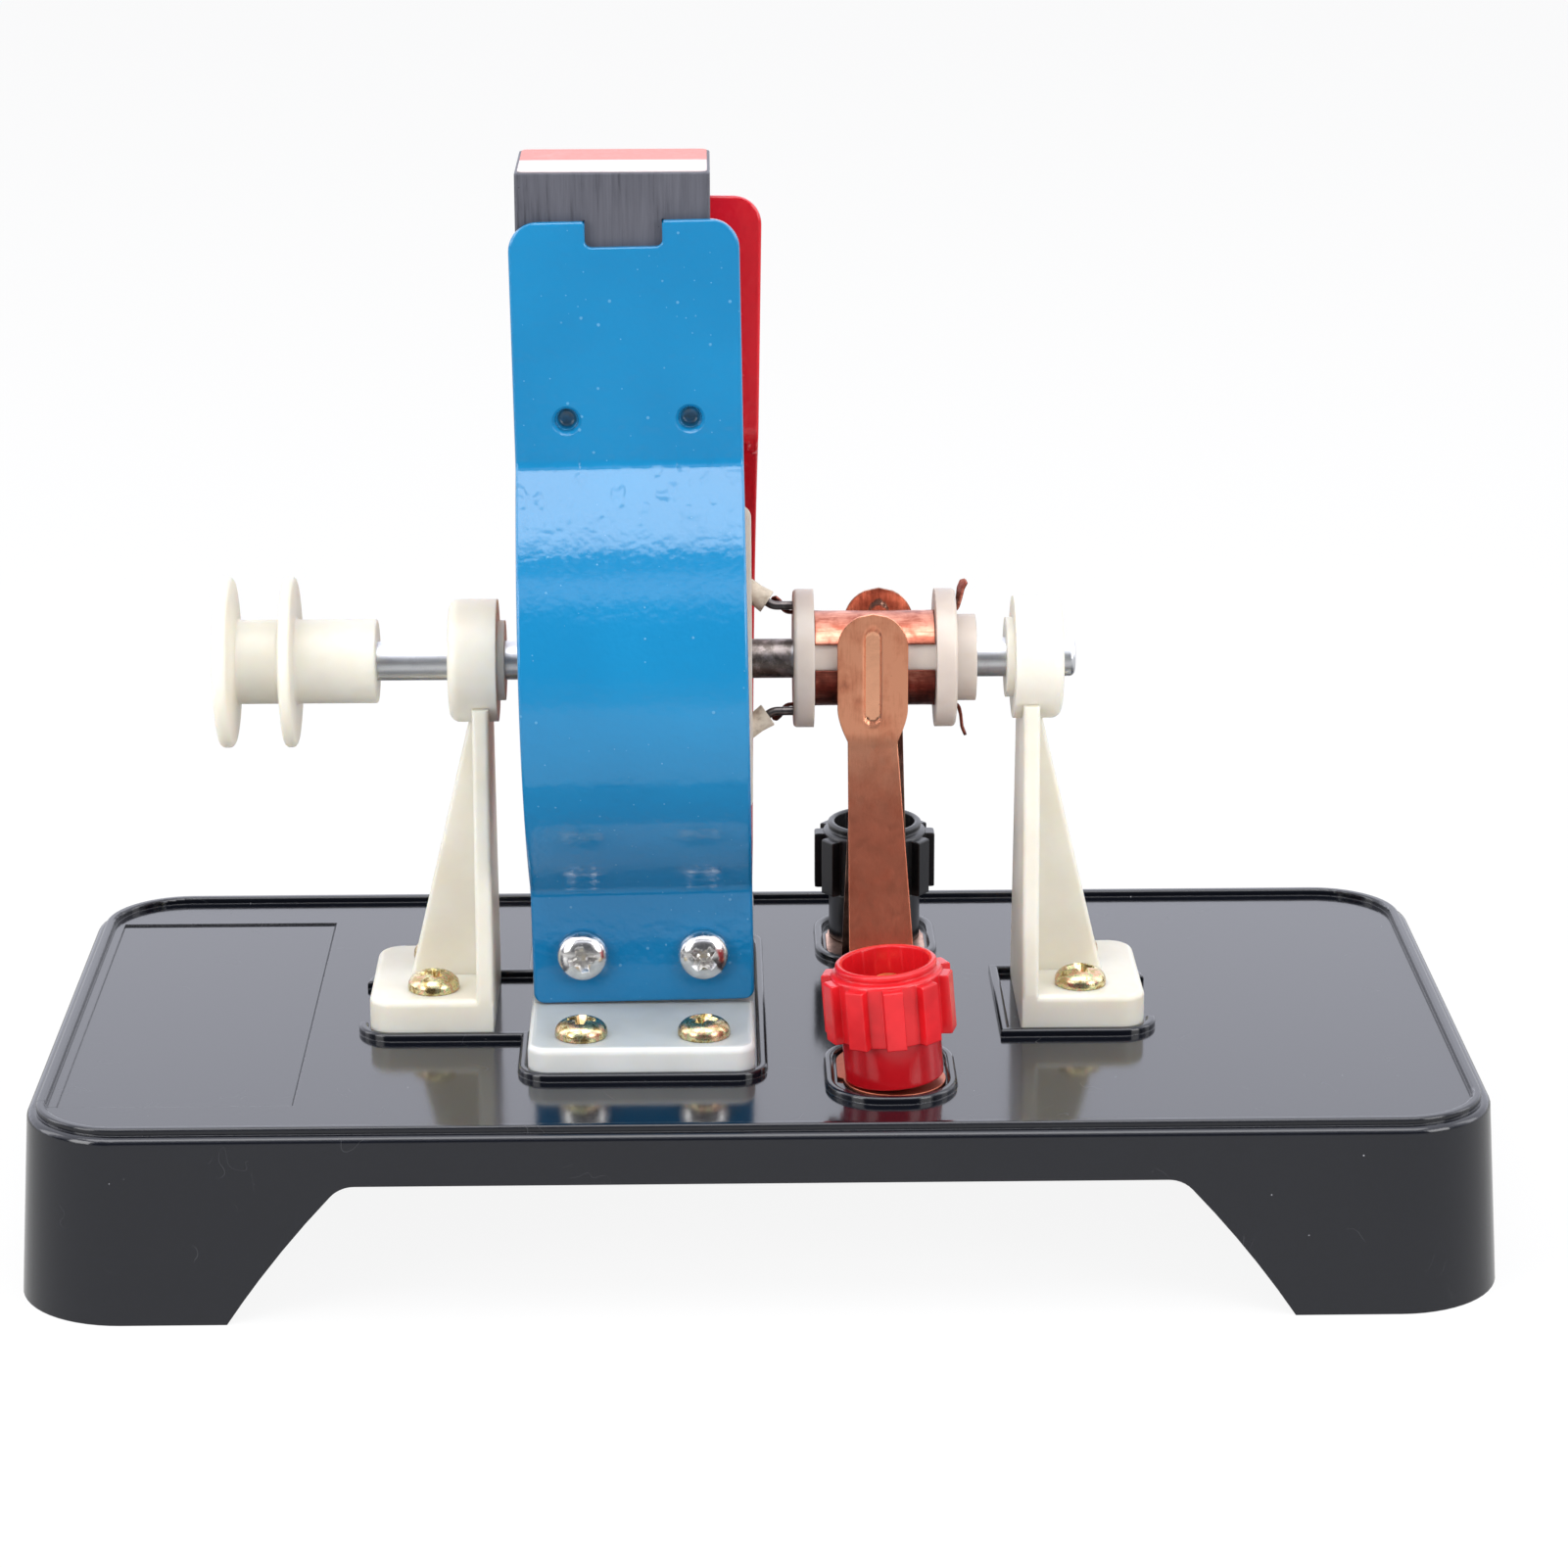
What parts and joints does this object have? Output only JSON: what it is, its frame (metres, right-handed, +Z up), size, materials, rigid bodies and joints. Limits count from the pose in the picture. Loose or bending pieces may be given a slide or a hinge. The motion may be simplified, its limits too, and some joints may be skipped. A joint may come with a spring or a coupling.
{
  "type": "demonstration electric motor",
  "caption": "Open classroom electric motor with a coil rotor, commutator, brushes, belt pulley, pole plates and a block magnet on a moulded base with screw terminals.",
  "frame": {"origin": "centre of the base's underside, on the surface it stands on", "axes": "+X along the shaft away from the pulley, +Y towards the rear, +Z up"},
  "size_m": [0.1832, 0.0952, 0.1343],
  "materials": {
    "base_black": "glossy black moulded plastic",
    "ivory_plastic": "satin ivory moulded plastic",
    "yellow_zinc": "yellow zinc plated steel",
    "nickel_steel": "nickel plated steel",
    "blue_paint": "glossy blue baked enamel",
    "red_paint": "glossy red baked enamel",
    "ferrite": "ground dark grey ceramic magnet",
    "label_white": "plain white label",
    "label_red": "plain pale red label",
    "shaft_steel": "bright drawn steel",
    "former_white": "satin white moulded plastic",
    "enamelled_wire": "enamelled copper wire",
    "segment_copper": "bare copper, lightly tarnished",
    "brush_copper": "bare copper strip, lightly tarnished",
    "tinned_wire": "dark soldered wire",
    "sleeve_cream": "cream insulating sleeve",
    "stud_brass": "plain brass",
    "terminal_red": "glossy red plastic",
    "terminal_black": "glossy black plastic"
  },
  "bodies": {
    "base": {"base_shell": "base_black", "bracket_left": "ivory_plastic", "bracket_right": "ivory_plastic", "bracket_screws": "yellow_zinc", "field_foot_front": "ivory_plastic", "field_foot_rear": "ivory_plastic", "field_foot_screws": "yellow_zinc", "pole_plate_front": "blue_paint", "pole_plate_rear": "red_paint", "plate_screws": "nickel_steel", "brush_front": "brush_copper", "brush_rear": "brush_copper", "terminal_stud_front": "stud_brass", "terminal_stud_rear": "stud_brass", "terminal_collar_front": "terminal_red", "terminal_collar_rear": "terminal_black", "terminal_nuts": "nickel_steel", "lock_washers": "nickel_steel"},
    "rotor": {"shaft": "shaft_steel", "pulley": "ivory_plastic", "coil_former": "former_white", "coil_winding": "enamelled_wire", "commutator_spool": "former_white", "commutator_segment_upper": "segment_copper", "commutator_segment_lower": "segment_copper", "lead_wire_upper": "tinned_wire", "lead_wire_lower": "tinned_wire", "lead_sleeve_upper": "sleeve_cream", "lead_sleeve_lower": "sleeve_cream"},
    "magnet": {"magnet_block": "ferrite", "magnet_label_front": "label_white", "magnet_label_rear": "label_red"},
    "washer_front": {"pressure_washer_front": "nickel_steel"},
    "knob_front": {"terminal_knob_front": "terminal_red"},
    "washer_rear": {"pressure_washer_rear": "nickel_steel"},
    "knob_rear": {"terminal_knob_rear": "terminal_black"}
  },
  "joints": [
    {"name": "rotor_spin", "type": "hinge", "parent": "base", "child": "rotor", "pos_m": [0, 0, 0.0705], "axis": [1, 0, 0], "continuous": true},
    {"name": "magnet_lift", "type": "slide", "parent": "base", "child": "magnet", "axis": [0, 0, 1], "range_m": [0, 0.03]},
    {"name": "knob_front_rise", "type": "slide", "parent": "base", "child": "washer_front", "axis": [-0.0802, 0, 0.9968], "range_m": [0, 0.0021]},
    {"name": "knob_front_turn", "type": "hinge", "parent": "washer_front", "child": "knob_front", "pos_m": [0.01598, -0.0279, 0.03446], "axis": [-0.0802, 0, 0.9968], "range_deg": [0, 1080]},
    {"name": "knob_rear_rise", "type": "slide", "parent": "base", "child": "washer_rear", "axis": [0, 0, 1], "range_m": [-0.0007, 0.0014]},
    {"name": "knob_rear_turn", "type": "hinge", "parent": "washer_rear", "child": "knob_rear", "pos_m": [0.0163, 0.0279, 0.0352], "axis": [0, 0, 1], "range_deg": [-360, 720]}
  ],
  "couplings": [
    {"joint": "knob_front_turn", "follows": "knob_front_rise", "rad_per_m": 8976},
    {"joint": "knob_rear_turn", "follows": "knob_rear_rise", "rad_per_m": 8976}
  ]
}
